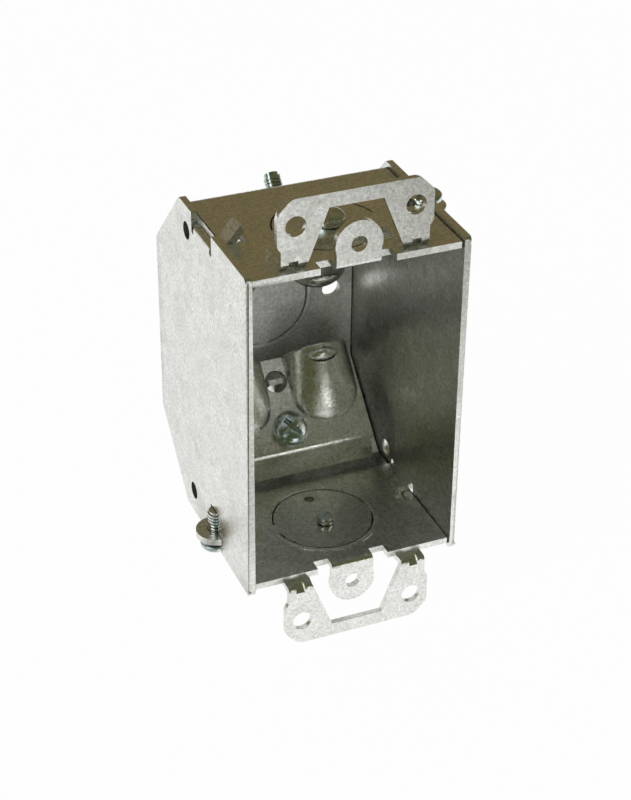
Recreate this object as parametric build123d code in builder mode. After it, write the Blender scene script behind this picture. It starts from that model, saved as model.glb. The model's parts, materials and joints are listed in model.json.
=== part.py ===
"""Gangable wall switch box with bevelled back corners, two cable clamps and two plaster ears.

X runs to the right, Y into the wall and Z up. The faces of the two device tabs lie on y = 0,
midway between their tapped holes is the origin. All sizes are in millimetres.
"""

import math
import os

from build123d import *

os.makedirs("parts", exist_ok=True)

# Box: a 3 by 2 inch opening, 2 1/4 inch deep over its sides
sheet = 1.5
half_height = 37.8
half_width = 24.6
depth = 56.4
bevel_run = 18.4
bevel_rise = 18.4
bend_radius = 2.2

# Sides: flat plates on the body's cut edges, a little proud of it all round
side_sheet = 1.5
side_rim = 1.1
side_front = 0.7
side_corner = 1.0
side_straight = 38.6
side_depth = 55.0
side_back_drop = 15.9
nail_hole_r = 2.0
nail_hole_y = 34.1
nail_hole_drop = 4.7

# Device tabs: their tapped holes lie this far outside the walls, the standard 83.3 mm apart
device_reach = 3.87
device_hole_r = 1.75
tab_half_width = 4.9
tab_round_r = 5.2
tab_relief_width = 3.4
tab_relief_depth = 2.8

# Knockouts: half-inch trade size, held by two ties each
knockout_r = 11.3
knockout_gap = 0.4
knockout_tie = 3.2
wall_knockout_y = 17.3
back_knockout_z = 0.0
pry_hole_r = 1.2
pry_hole_y = 25.3
back_hole_r = 2.2
back_hole_x = 17.5

# Gang tongues: lanced at one corner of the top and bottom, free end inward
tongue_front = 16.6
tongue_width = 4.0
tongue_reach = 4.6
tongue_lift = 3.1
tongue_gap = 0.5
tongue_window = 7.0

# Gang lugs: at the other corners, sunk by one sheet and round about their screws
gang_inset = 0.4
gang_y = 20.7
gang_lug_r = 4.6
gang_window = 5.6
gang_root = 2.6
gang_gap = 0.3

# Plaster ears
ear_sheet = 1.3
ear_leg_in = 10.7
ear_leg_out = 16.2
ear_half_width = 17.0
ear_far_half = 13.8
ear_height = 15.4
ear_shoulder = 4.2
ear_chamfer = 3.2
ear_cut_half = 5.9
ear_cut_height = 12.2
ear_hole_r = 2.2
ear_hole_x = 13.0
ear_hole_z = 9.4
ear_tongue_half = 4.8
ear_tongue_end = 29.5
ear_cut_depth = 8.0
ear_slot_start = 10.4
ear_slot_end = 26.4
ear_dent_width = 2.0
ear_dent_depth = 2.4
top_ear_y = 1.6
bottom_ear_y = -2.7

# Cable clamps, measured from the bevel's outer face (off) and from its front bend (along)
clamp_sheet = 1.3
clamp_off = 9.8
clamp_top = 26.0
clamp_bend = 3.8
clamp_lip_along = -0.7
clamp_lip_off = 5.2
clamp_half_width = 19.5
hump_x = 10.8
hump_r = 8.1
hump_crest = 17.2
hump_foot_along = 9.4
hump_slit_along = 22.3
hump_slit_width = 0.8
hump_slit_depth = 2.2
clamp_screw_along = 8.9
locating_along = 20.6
locating_r = 2.6
lug_half_width = 1.7
lug_tip = 9.5

# Pry-outs in the bevels, behind the humps
pryout_x = 11.0
pryout_along = 13.6
pryout_width = 10.5
pryout_length = 15.0
pryout_groove = 1.0
pryout_slot_length = 7.0
pryout_slot_width = 1.6

# Screws
screw_r = 2.05
hole_clearance = 0.05
passing_clearance = 0.25
clamp_head_r = 4.2
clamp_head_height = 2.9
clamp_tip_out = 5.6
ear_head_r = 3.6
ear_head_height = 2.6
ear_head_gap = 0.05
ear_screw_y = 15.8
side_head_r = 3.7
side_head_height = 1.9
side_screw_length = 8.0
tip_inside = 3.0

# Left side's hook and its forked tab under the gang lug
hook_front = 20.0
hook_width = 9.6
hook_relief = 1.2
hook_reach = 3.7
hook_gap = 0.1
side_tab_width = 9.0
side_tab_reach = 6.4

# What follows from them
straight = depth - bevel_run
body_half_width = half_width - side_sheet
inner_half_height = half_height - sheet
bevel_length = math.hypot(bevel_run, bevel_rise)
device_z = half_height + device_reach
side_half_height = half_height + side_rim
side_back_half = half_height - side_back_drop
nail_hole_z = half_height - nail_hole_drop
gang_x = half_width - gang_inset
gang_root_x = body_half_width - gang_window - gang_root
gang_tip_z = half_height - side_screw_length
hump_tilt = math.atan2(hump_crest - clamp_off, clamp_top - hump_foot_along)
screw_hole_r = screw_r + hole_clearance
passing_r = screw_r + passing_clearance

lower_bevel = Plane(
    origin=(0, straight, -half_height),
    x_dir=(1, 0, 0),
    z_dir=(0, -bevel_rise / bevel_length, bevel_run / bevel_length),
)
upper_bevel = Plane(
    origin=(0, straight, half_height),
    x_dir=(-1, 0, 0),
    z_dir=(0, -bevel_rise / bevel_length, -bevel_run / bevel_length),
)
half_turn = Location((0, 0, 0), (0, 180, 0))

# Body: one strip folded into top, bevel, back, bevel and bottom
with BuildPart() as body:
    with BuildSketch(Plane.YZ):
        with BuildLine():
            FilletPolyline(
                (0, half_height),
                (straight, half_height),
                (depth, half_height - bevel_rise),
                (depth, bevel_rise - half_height),
                (straight, -half_height),
                (0, -half_height),
                radius=bend_radius,
            )
            offset(amount=sheet, side=Side.RIGHT)
        make_face()
    extrude(amount=body_half_width, both=True)

    # Device tabs, turned outward at the front, with a relief on each side
    for sign in (1, -1):
        with BuildSketch(Plane.XZ.offset(-sheet)):
            with Locations((0, sign * device_z)):
                Circle(tab_round_r)
            with Locations((0, sign * (inner_half_height + device_z) / 2)):
                Rectangle(2 * tab_half_width, device_z - inner_half_height)
        extrude(amount=sheet)
        with Locations(
            (tab_half_width + tab_relief_width / 2, tab_relief_depth / 2, sign * (half_height - sheet / 2)),
            (-tab_half_width - tab_relief_width / 2, tab_relief_depth / 2, sign * (half_height - sheet / 2)),
        ):
            Box(tab_relief_width, tab_relief_depth, 2 * sheet, mode=Mode.SUBTRACT)
    tab_roots = [
        edge
        for edge in body.edges().filter_by(Axis.X)
        if abs(edge.center().Y) < 0.01
        and abs(abs(edge.center().Z) - inner_half_height) < 0.01
        and abs(edge.center().X) < 1
    ]
    fillet(tab_roots, radius=sheet * 0.9)
    with BuildSketch(Plane.XZ):
        with Locations((0, device_z), (0, -device_z)):
            Circle(device_hole_r)
    extrude(amount=2 * sheet, both=True, mode=Mode.SUBTRACT)

    # Top and bottom: knockout ring, its pry hole, the ear screw's tapped hole and two windows
    for plane, inward, side in (
        (Plane.XY.offset(half_height), -1, 1),
        (Plane.XY.offset(-half_height), 1, -1),
    ):
        with BuildSketch(plane):
            with Locations((0, wall_knockout_y)):
                Circle(knockout_r + knockout_gap / 2)
                Circle(knockout_r - knockout_gap / 2, mode=Mode.SUBTRACT)
                Rectangle(3 * knockout_r, knockout_tie, mode=Mode.SUBTRACT)
            with Locations((0, pry_hole_y)):
                Circle(pry_hole_r)
            with Locations((0, ear_screw_y)):
                Circle(screw_hole_r)
            with Locations((side * body_half_width, gang_y)):
                Rectangle(2 * gang_window, 2 * (gang_lug_r + gang_gap))
            window_x = body_half_width - sheet - tongue_reach / 2
            with Locations((-side * window_x, tongue_front + tongue_width + tongue_gap)):
                Rectangle(tongue_reach, tongue_window, align=(Align.CENTER, Align.MAX))
        extrude(amount=inward * 2 * sheet, mode=Mode.SUBTRACT)

    # Gang lugs, reaching out through the sides
    for side, low in ((1, inner_half_height - sheet), (-1, -inner_half_height)):
        with BuildSketch(Plane.XY.offset(low)):
            with Locations((side * (gang_root_x + gang_x) / 2, gang_y)):
                Rectangle(gang_x - gang_root_x, 2 * gang_lug_r)
            with Locations((side * gang_x, gang_y)):
                Circle(gang_lug_r)
                Circle(screw_hole_r, mode=Mode.SUBTRACT)
        extrude(amount=sheet)

    # Gang tongues, rooted on the cut edge and bent out of the wall
    root_x = body_half_width
    for side in (-1, 1):
        with BuildSketch(Plane.XZ.offset(-tongue_front)):
            with BuildLine():
                Polyline(
                    (side * root_x, -side * inner_half_height),
                    (side * root_x, -side * half_height),
                    (side * (root_x - 0.9), -side * half_height),
                    (side * (root_x - tongue_reach + 0.7), -side * (half_height + tongue_lift)),
                    (side * (root_x - tongue_reach), -side * (half_height + tongue_lift - 1.3)),
                    (side * (root_x - sheet - 0.4), -side * inner_half_height),
                    close=True,
                )
            make_face()
        extrude(amount=-tongue_width)

    # Back: knockout ring and a fixing hole
    with BuildSketch(Plane.XZ.offset(-depth)):
        with Locations((0, back_knockout_z)):
            Circle(knockout_r + knockout_gap / 2)
            Circle(knockout_r - knockout_gap / 2, mode=Mode.SUBTRACT)
            Rectangle(knockout_tie, 3 * knockout_r, mode=Mode.SUBTRACT)
        with Locations((back_hole_x, back_knockout_z)):
            Circle(back_hole_r)
    extrude(amount=2 * sheet, mode=Mode.SUBTRACT)

    # Bevels: tapped clamp hole, locating lug with the window it came from, and two pry-outs
    for bevel in (lower_bevel, upper_bevel):
        with BuildSketch(bevel):
            with Locations((0, clamp_screw_along)):
                Circle(screw_hole_r)
            with Locations((0, locating_along - clamp_sheet / 2 - lug_tip / 2 + sheet / 2)):
                Rectangle(2 * lug_half_width, lug_tip - sheet)
            with Locations((pryout_x, pryout_along), (-pryout_x, pryout_along)):
                Rectangle(pryout_slot_width, pryout_slot_length)
        extrude(amount=2 * sheet, both=True, mode=Mode.SUBTRACT)
        with BuildSketch(bevel):
            with Locations((pryout_x, pryout_along), (-pryout_x, pryout_along)):
                SlotOverall(pryout_length, pryout_width, rotation=90)
                SlotOverall(
                    pryout_length - 2 * knockout_gap,
                    pryout_width - 2 * knockout_gap,
                    rotation=90,
                    mode=Mode.SUBTRACT,
                )
        extrude(amount=pryout_groove, mode=Mode.SUBTRACT)
        with BuildSketch(bevel):
            with Locations((0, locating_along)):
                Rectangle(2 * lug_half_width, clamp_sheet)
        extrude(amount=lug_tip)
body.part.label = "box_body"


def make_side():
    """The left side; half a turn about Y makes the right one."""
    with BuildPart() as side:
        with BuildSketch(Plane.YZ.offset(-half_width)) as outline:
            with BuildLine():
                Polyline(
                    (-side_front, side_half_height),
                    (side_straight, side_half_height),
                    (side_depth, side_back_half),
                    (side_depth, -side_back_half),
                    (side_straight, -side_half_height),
                    (-side_front, -side_half_height),
                    close=True,
                )
            make_face()
            fillet(outline.vertices(), radius=side_corner)
            # The strip bent inward as the hook, with its two reliefs
            hook_mid = hook_front + hook_width / 2
            hook_bottom = inner_half_height - hook_gap - side_sheet
            with Locations((hook_mid, (side_half_height + inner_half_height - hook_gap) / 2 + 1)):
                Rectangle(hook_width, side_half_height - inner_half_height + hook_gap + 2, mode=Mode.SUBTRACT)
            with Locations(
                (hook_front - hook_relief / 2, side_half_height),
                (hook_front + hook_width + hook_relief / 2, side_half_height),
            ):
                SlotOverall(
                    2 * (side_half_height - hook_bottom) + hook_relief,
                    hook_relief,
                    rotation=90,
                    mode=Mode.SUBTRACT,
                )
            with Locations((nail_hole_y, nail_hole_z), (nail_hole_y, -nail_hole_z)):
                Circle(nail_hole_r, mode=Mode.SUBTRACT)
            # Openings for the gang lug, its screw's shank and the screw's head
            with Locations((gang_y, -inner_half_height)):
                Rectangle(
                    2 * (gang_lug_r + gang_gap),
                    sheet + gang_gap,
                    align=(Align.CENTER, Align.MIN),
                    mode=Mode.SUBTRACT,
                )
            with Locations((gang_y, -side_half_height)):
                Rectangle(
                    2 * passing_r,
                    2 * (side_half_height - gang_tip_z + gang_gap),
                    mode=Mode.SUBTRACT,
                )
                Rectangle(2 * (side_head_r + gang_gap), 2 * side_rim, mode=Mode.SUBTRACT)
        extrude(amount=side_sheet)

        # Hook under the top wall
        with Locations((-half_width, hook_mid, hook_bottom)):
            Box(
                side_sheet + hook_reach,
                hook_width,
                side_sheet,
                align=(Align.MIN, Align.CENTER, Align.MIN),
            )
        # Forked tab in the wall's window, between the lug and its screw's head
        with Locations((-half_width, gang_y, -half_height)):
            Box(
                side_tab_reach,
                side_tab_width,
                sheet,
                align=(Align.MIN, Align.CENTER, Align.MIN),
            )
            Box(
                2 * side_tab_reach,
                2 * passing_r,
                sheet,
                align=(Align.CENTER, Align.CENTER, Align.MIN),
                mode=Mode.SUBTRACT,
            )
        bends = [
            edge
            for edge in side.edges().filter_by(Axis.Y)
            if abs(edge.center().X + half_width) < 0.01
            and abs(edge.center().Z - hook_bottom - side_sheet) < 0.01
        ]
        fillet(bends, radius=side_sheet * 0.8)
    return side.part


def make_ear():
    """A plaster ear: front face on y = 0, flange standing on z = 0."""
    with BuildPart() as ear:
        with BuildSketch(Plane.XY):
            with BuildLine():
                Polyline(
                    (-ear_leg_out, 0),
                    (-ear_leg_out, ear_cut_depth),
                    (-ear_leg_in, ear_slot_start + 2),
                    (-ear_tongue_half, ear_slot_start + 5),
                    (-ear_tongue_half, ear_tongue_end),
                    (ear_tongue_half, ear_tongue_end),
                    (ear_tongue_half, ear_slot_start + 5),
                    (ear_leg_in, ear_slot_start + 2),
                    (ear_leg_out, ear_cut_depth),
                    (ear_leg_out, 0),
                    (ear_leg_in, 0),
                    (ear_leg_in - 1, ear_cut_depth),
                    (1 - ear_leg_in, ear_cut_depth),
                    (-ear_leg_in, 0),
                    close=True,
                )
            make_face()
            with Locations((0, (ear_slot_start + ear_slot_end) / 2)):
                SlotOverall(ear_slot_end - ear_slot_start, 2 * passing_r, rotation=90, mode=Mode.SUBTRACT)
        extrude(amount=ear_sheet)
        with BuildSketch(Plane.XZ):
            with BuildLine():
                Polyline(
                    (-ear_leg_out, 0),
                    (-ear_leg_out, ear_shoulder),
                    (-ear_half_width, ear_shoulder + 0.8),
                    (-ear_half_width, ear_height - ear_chamfer),
                    (-ear_far_half, ear_height),
                    (ear_far_half, ear_height),
                    (ear_half_width, ear_height - ear_chamfer),
                    (ear_half_width, ear_shoulder + 0.8),
                    (ear_leg_out, ear_shoulder),
                    (ear_leg_out, 0),
                    (ear_leg_in, 0),
                    (ear_cut_half, ear_cut_height),
                    (-ear_cut_half, ear_cut_height),
                    (-ear_leg_in, 0),
                    close=True,
                )
            make_face()
            with Locations((ear_hole_x, ear_hole_z), (-ear_hole_x, ear_hole_z)):
                Circle(ear_hole_r, mode=Mode.SUBTRACT)
        extrude(amount=-ear_sheet)
        bends = [
            edge
            for edge in ear.edges().filter_by(Axis.X)
            if abs(edge.center().Y) < 0.01 and abs(edge.center().Z) < 0.01
        ]
        fillet(bends, radius=ear_sheet * 0.9)
        # Small stiffening dents pressed into the two bends
        dent_x = (ear_leg_in + ear_leg_out) / 2
        with Locations(Location((dent_x, 0, 0), (45, 0, 0)), Location((-dent_x, 0, 0), (45, 0, 0))):
            Box(ear_dent_width, ear_dent_depth, ear_dent_depth, mode=Mode.SUBTRACT)
        tongue_corners = [
            edge
            for edge in ear.edges().filter_by(Axis.Z)
            if abs(edge.center().Y - ear_tongue_end) < 0.01
        ]
        fillet(tongue_corners, radius=ear_tongue_half * 0.6)
    return ear.part


def make_clamp(bevel):
    """A cable clamp over the given bevel, with two humps, each open at the upper edge."""
    with BuildPart() as clamp:
        profile = Plane(origin=bevel.origin, x_dir=bevel.y_dir, z_dir=bevel.x_dir)
        with BuildSketch(profile):
            with BuildLine():
                FilletPolyline(
                    (clamp_top, clamp_off),
                    (clamp_bend, clamp_off),
                    (clamp_lip_along, clamp_lip_off),
                    radius=clamp_sheet * 1.4,
                )
                offset(amount=clamp_sheet, side=Side.LEFT)
            make_face()
        extrude(amount=clamp_half_width, both=True)

        # Humps: round channels that run up out of the plate, open at its upper edge
        for x in (hump_x, -hump_x):
            channel = Plane(
                origin=bevel.from_local_coords((x, clamp_top, hump_crest - hump_r / math.cos(hump_tilt))),
                x_dir=bevel.x_dir,
                z_dir=bevel.y_dir * math.cos(hump_tilt) + bevel.z_dir * math.sin(hump_tilt),
            )
            with BuildPart():
                with Locations(channel):
                    Cylinder(hump_r, 3 * clamp_top)
                upper_edge = bevel.from_local_coords((x, clamp_top, clamp_off - clamp_sheet))
                with Locations(Plane(upper_edge, bevel.x_dir, bevel.z_dir)):
                    Box(
                        3 * hump_r,
                        clamp_top,
                        3 * hump_r,
                        align=(Align.CENTER, Align.MAX, Align.MIN),
                        mode=Mode.INTERSECT,
                    )
            with Locations(channel):
                Cylinder(hump_r - clamp_sheet, 3 * clamp_top, mode=Mode.SUBTRACT)
        with BuildSketch(bevel):
            with Locations((0, clamp_screw_along)):
                Circle(passing_r)
            with Locations((0, locating_along)):
                Circle(locating_r)
        extrude(amount=2 * clamp_off, mode=Mode.SUBTRACT)
        slit_crest = clamp_off + (hump_slit_along - hump_foot_along) * math.tan(hump_tilt)
        with BuildSketch(bevel.offset(slit_crest - hump_slit_depth)):
            with Locations((hump_x, hump_slit_along), (-hump_x, hump_slit_along)):
                Rectangle(2 * hump_r, hump_slit_width)
        extrude(amount=hump_r, mode=Mode.SUBTRACT)
    return clamp.part


def make_screw(head_r, head_height, length, cross):
    """A screw on the Z axis, its head's seat on z = 0, with a slot and where asked a cross."""
    with BuildPart() as screw:
        with BuildSketch(Plane.XZ):
            with BuildLine():
                Polyline(
                    (0, -length),
                    (screw_r, -length),
                    (screw_r, 0),
                    (head_r, 0),
                    (head_r, head_height * 0.45),
                    (head_r * 0.64, head_height),
                    (0, head_height),
                    close=True,
                )
            make_face()
        revolve(axis=Axis.Z)
        with BuildSketch(Plane.XY.offset(head_height)):
            Rectangle(3 * head_r, head_r * 0.28)
            if cross:
                Rectangle(head_r * 0.28, head_r * 1.1)
        extrude(amount=-head_height * 0.5, mode=Mode.SUBTRACT)
    return screw.part


left_side = make_side()
right_side = half_turn * left_side

ear = make_ear()
top_ear = Location((0, top_ear_y, half_height)) * ear
bottom_ear = Location((0, bottom_ear_y, -half_height)) * half_turn * ear

lower_clamp = make_clamp(lower_bevel)
upper_clamp = make_clamp(upper_bevel)

clamp_screw = make_screw(clamp_head_r, clamp_head_height, clamp_off + clamp_tip_out, True)
seat = Location((0, clamp_screw_along, clamp_off), (0, 0, 35))
lower_clamp_screw = lower_bevel.location * seat * clamp_screw
upper_clamp_screw = upper_bevel.location * seat * clamp_screw

ear_seat = ear_sheet + ear_head_gap
ear_screw = make_screw(ear_head_r, ear_head_height, ear_seat + sheet + tip_inside, False)
top_ear_screw = Location((0, ear_screw_y, half_height + ear_seat), (0, 0, 55)) * ear_screw
bottom_ear_screw = half_turn * top_ear_screw

side_screw = make_screw(side_head_r, side_head_height, side_screw_length, False)
right_side_screw = Location((gang_x, gang_y, half_height), (0, 0, 40)) * side_screw
left_side_screw = half_turn * right_side_screw

pieces = {
    "box_body": body.part,
    "left_side": left_side,
    "right_side": right_side,
    "left_side_screw": left_side_screw,
    "right_side_screw": right_side_screw,
    "top_ear": top_ear,
    "bottom_ear": bottom_ear,
    "top_ear_screw": top_ear_screw,
    "bottom_ear_screw": bottom_ear_screw,
    "upper_clamp": upper_clamp,
    "lower_clamp": lower_clamp,
    "upper_clamp_screw": upper_clamp_screw,
    "lower_clamp_screw": lower_clamp_screw,
}
for label, piece in pieces.items():
    piece.label = label
    export_step(piece, f"parts/{label}.step")
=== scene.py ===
"""Looks of a galvanised gangable switch box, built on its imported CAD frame."""

import json
import math

import bmesh
import bpy
from mathutils import Matrix, Vector


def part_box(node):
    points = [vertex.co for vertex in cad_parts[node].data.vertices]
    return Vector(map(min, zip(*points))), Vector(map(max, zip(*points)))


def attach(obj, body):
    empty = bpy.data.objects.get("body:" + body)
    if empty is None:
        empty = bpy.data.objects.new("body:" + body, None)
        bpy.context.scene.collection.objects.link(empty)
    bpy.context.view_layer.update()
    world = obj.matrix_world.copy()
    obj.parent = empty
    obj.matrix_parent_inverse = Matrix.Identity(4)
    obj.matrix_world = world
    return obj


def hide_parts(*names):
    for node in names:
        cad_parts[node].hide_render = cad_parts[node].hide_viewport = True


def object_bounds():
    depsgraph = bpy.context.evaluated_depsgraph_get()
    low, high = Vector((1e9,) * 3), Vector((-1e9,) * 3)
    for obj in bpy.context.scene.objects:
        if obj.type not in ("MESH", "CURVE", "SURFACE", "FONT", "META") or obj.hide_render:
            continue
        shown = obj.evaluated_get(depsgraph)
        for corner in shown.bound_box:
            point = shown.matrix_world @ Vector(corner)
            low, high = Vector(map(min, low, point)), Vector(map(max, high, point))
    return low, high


bl_info = {
    "name": "Switch box looks",
    "version": (1, 0, 0),
    "blender": (4, 5, 0),
    "location": "3D View > Sidebar > Switch Box",
    "description": "Galvanised sheet, threaded screws and a plain studio for a wall switch box",
    "category": "Object",
}

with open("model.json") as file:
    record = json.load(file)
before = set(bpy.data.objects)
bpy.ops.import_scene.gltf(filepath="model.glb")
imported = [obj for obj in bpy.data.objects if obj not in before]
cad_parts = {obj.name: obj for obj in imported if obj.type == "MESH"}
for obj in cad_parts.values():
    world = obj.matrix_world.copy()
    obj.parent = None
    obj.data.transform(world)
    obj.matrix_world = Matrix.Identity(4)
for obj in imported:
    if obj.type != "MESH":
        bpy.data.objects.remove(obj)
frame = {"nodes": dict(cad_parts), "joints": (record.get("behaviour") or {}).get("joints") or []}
CAD_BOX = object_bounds()

SHEET_NODES = {
    "box_body": "box",
    "left_side": "left_side",
    "right_side": "right_side",
    "top_ear": "top_ear",
    "bottom_ear": "bottom_ear",
    "upper_clamp": "upper_clamp",
    "lower_clamp": "lower_clamp",
}
CLAMP_SCREWS = ("upper_clamp_screw", "lower_clamp_screw")
WALL_SCREWS = ("left_side_screw", "right_side_screw", "top_ear_screw", "bottom_ear_screw")

# Slots of a sheet piece's materials: zinc face, sheared edge and painted shade
FACE, EDGE, PAINTED_SHADE = 0, 1, 2

# Lengths in metres by which parts of the CAD meshes are found
NEAR = 2e-5
CAD_WINDOW_INNER, CAD_WINDOW_FRONT = 0.0170, 0.0141
WINDOW_X, WINDOW_Y = (0.0169, 0.0217), (0.0140, 0.0212)
TONGUE_X, TONGUE_Y, TONGUE_TOP = (0.0178, 0.0232), (0.0160, 0.0210), 0.0412
TONGUE_FRONT, TONGUE_END = 0.0170, 0.0196
EAR_CORNER_X, EAR_SHEET = 0.0125, (0.0008, 0.002)
NAIL_HOLE_REACH = 0.0024

# Small forms that only the looks have, in metres
TONGUE_WIDENING, TONGUE_ROUNDING = 0.0009, 0.0019
SLIT_FLOOR, RIDGE_ROOT = 0.0001, 0.0002
HUMP_SINK, LOUVRE_STEP, LOUVRE_RISE = 0.0002, 0.00012, 0.0006
# The second louvre size bounds the band of painted shadow under each louvre's lens
LOUVRE_LENS, LOUVRE_SHADOW_RIM = (0.0034, 0.0013), (0.0035, 0.0018)
HUMP_ROWS, HUMP_STEPS = 44, 64

# Screw heads: shares of the head's radius or height, then metres and turns of the slots
SLOT_WIDTH, CROSS_LENGTH, CROSS_DEEPER = 0.28, 1.15, 0.06
CUTTER_SPARE, RIM_WEAR = 0.001, 0.00012
SHARP_ANGLE, EAR_TURN, SIDE_TURN = math.radians(35), math.radians(55), math.radians(40)
THREAD_RIDGE = 0.62

# Ranges in metres over which the floor that metal mirrors fades
FADE_RIGHT_X, FADE_RIGHT_Y = (0.056, 0.11), (-0.10, -0.06)
FADE_LEFT_X, FADE_BEHIND_Y = (-0.02, 0.012), (-0.02, 0.03)
FADE_NEAR_X, FADE_NEAR_Y = (-0.04, -0.025), (-0.06, -0.035)
FADE_FRONT_Y = (-0.6, -0.3)
BEHIND_WHITE = 0.92

# Places of the lamps and the point they face, in metres
KEY_PLACE, FRONT_PLACE, LAMP_AIM = (-0.75, -0.25, 0.30), (0.28, -0.9, 0.10), Vector((0, 0.02, 0))
WHITE = (1.0, 1.0, 1.0)


def length_prop(name, description, default):
    """A length in metres, as a property."""
    return bpy.props.FloatProperty(name=name, description=description, unit="LENGTH", default=default)


def colour_prop(name, description, default):
    """A plain colour, as a property."""
    return bpy.props.FloatVectorProperty(name=name, description=description, subtype="COLOR", default=default)


class SwitchBoxSheetSettings(bpy.types.PropertyGroup):
    """How the galvanised sheet looks."""

    zinc_light: colour_prop("Zinc, light", "Colour of the brighter zinc grains", (0.92, 0.925, 0.89))
    zinc_dark: colour_prop("Zinc, dark", "Colour of the duller zinc grains", (0.84, 0.845, 0.80))
    tarnish: colour_prop("Tarnish", "Colour of the thin brown handling stains", (0.36, 0.32, 0.25))
    edge: colour_prop("Sheared edge", "Colour of the rubbed and sheared edges", (0.86, 0.86, 0.85))
    # Painted shade: these two dark tones stand in for the shade in slits, seams, nail holes and under the
    # louvres
    painted_shade_dark: colour_prop("Gap, dark", "Colour of raw cut steel in slits and seams", (0.022, 0.020, 0.014))
    painted_shade_fleck_colour: colour_prop("Gap, dust", "Colour of the dust in slits and seams", (0.075, 0.066, 0.046))
    roughness: bpy.props.FloatProperty(
        name="Roughness",
        description="Mean roughness of the zinc",
        subtype="FACTOR",
        default=0.29,
    )
    back_patina: bpy.props.FloatProperty(
        name="Back patina",
        description="Share of dull white zinc bloom on the back wall",
        subtype="FACTOR",
        default=0.6,
    )
    back_dulling: bpy.props.FloatProperty(
        name="Back dulling", description="How much rougher the back wall is than the rest", default=0.12
    )
    edge_radius: length_prop("Edge radius", "Rounding of the sheared sheet edges", 0.00014)
    body_half_width: length_prop("Body half width", "From the middle to the body's cut edges", 0.0231)
    # Painted shade: the seams are faces darkened to stand in for the shade between the body and its sides
    seam: length_prop("Seam", "Width of the dark seams between the body and its sides", 0.00032)
    ear_corner: length_prop("Ear corner", "Rounding of an ear's outer corners", 0.0009)
    tongue_lift: bpy.props.FloatProperty(
        name="Tongue lift",
        description="How much further the gang tongues stand out than the CAD's",
        default=1.4,
    )
    front_rollover: length_prop("Front rollover", "Rounding of a side's outer front edge", 0.0008)
    wall_inner: length_prop("Wall, inside", "Height of the walls' inner faces", 0.0363)
    wall_outer: length_prop("Wall, outside", "Height of the walls' outer faces", 0.0378)
    window_inner: length_prop("Window, inner end", "Inner end of a gang tongue's window", 0.0179)
    window_inner_low: length_prop("Lower window, inner end", "Inner end of the lower window", 0.0203)
    nail_y: length_prop("Nail hole depth", "Middle of the sides' nail holes, from front to back", 0.0341)
    nail_z: length_prop("Nail hole height", "Middle of the sides' nail holes, up and down", 0.0331)
    window_front: length_prop("Window, front end", "Front end of a gang tongue's window", 0.0164)
    knockout_radius: length_prop("Knockout radius", "Middle radius of the knockouts' slits", 0.0113)
    # The ring that floors a slit is painted shade
    knockout_gap: length_prop("Knockout gap", "Half width of the ring that floors a slit", 0.00025)
    ridge_width: length_prop("Ridge width", "Width of the pressed ridge round a knockout", 0.0011)
    ridge_height: length_prop("Ridge height", "Height of the pressed ridge round a knockout", 0.00016)
    wall_knockout_y: length_prop("Wall knockout depth", "Middle of the walls' knockouts", 0.0173)
    back_y: length_prop("Back", "Outer face of the back wall", 0.0564)
    bevel_y: length_prop("Bevel start", "Depth at which the bevels leave the walls", 0.038)
    clamp_off: length_prop("Clamp height", "Clamp face above the bevel's outer face", 0.0098)
    hump_x: length_prop("Hump place", "From the middle to a hump's crest", 0.0108)
    hump_radius: length_prop("Hump half width", "Half width of a hump", 0.00812)
    hump_height: length_prop("Hump height", "Rise of a hump at its open end", 0.00745)
    hump_foot: length_prop("Hump foot", "Foot of a hump along the bevel", 0.0090)
    hump_top: length_prop("Hump end", "Open end of a hump along the bevel", 0.0260)
    hump_round: length_prop("Hump rounding", "Length of a hump's rounded foot", 0.0072)
    hump_swell: bpy.props.FloatProperty(
        name="Hump swell", description="How soon a hump rises from its foot", default=0.70
    )
    hump_sheet: length_prop("Hump sheet", "Thickness of the sheet in a hump", 0.0010)
    louvre_along: length_prop("Louvre place", "Middle of a hump's louvre along the bevel", 0.0235)
    smooth_angle: bpy.props.FloatProperty(
        name="Smooth angle",
        description="Edges flatter than this shade smoothly",
        subtype="ANGLE",
        default=math.radians(14),
    )


class SwitchBoxScrewSettings(bpy.types.PropertyGroup):
    """Sizes and looks of the screws."""

    plate: colour_prop("Plating", "Colour of the bright zinc plating", (0.78, 0.80, 0.79))
    tint: colour_prop("Chromate tint", "Blue-green tint of the passivated plating", (0.44, 0.56, 0.57))
    clamp_head_radius: length_prop("Clamp head radius", "Head radius of a clamp screw", 0.0042)
    clamp_head_height: length_prop("Clamp head height", "Head height of a clamp screw", 0.0029)
    clamp_length: length_prop("Clamp screw length", "Length below a clamp screw's head", 0.0154)
    clamp_turn: bpy.props.FloatProperty(
        name="Clamp slot turn",
        description="Turn of a clamp screw's slot",
        subtype="ANGLE",
        default=math.radians(35),
    )
    ear_head_height: length_prop("Ear head height", "Head height of an ear screw", 0.0026)
    ear_tip: length_prop("Ear tip", "How much an ear screw falls short of the CAD's", 0.0014)
    side_head_height: length_prop("Side head height", "Head height of a side screw", 0.0019)
    shank_radius: length_prop("Shank radius", "Radius over the thread", 0.00205)
    pitch: length_prop("Pitch", "Distance between thread turns", 0.000794)
    thread_depth: length_prop("Thread depth", "Depth of the thread", 0.00042)


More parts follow.
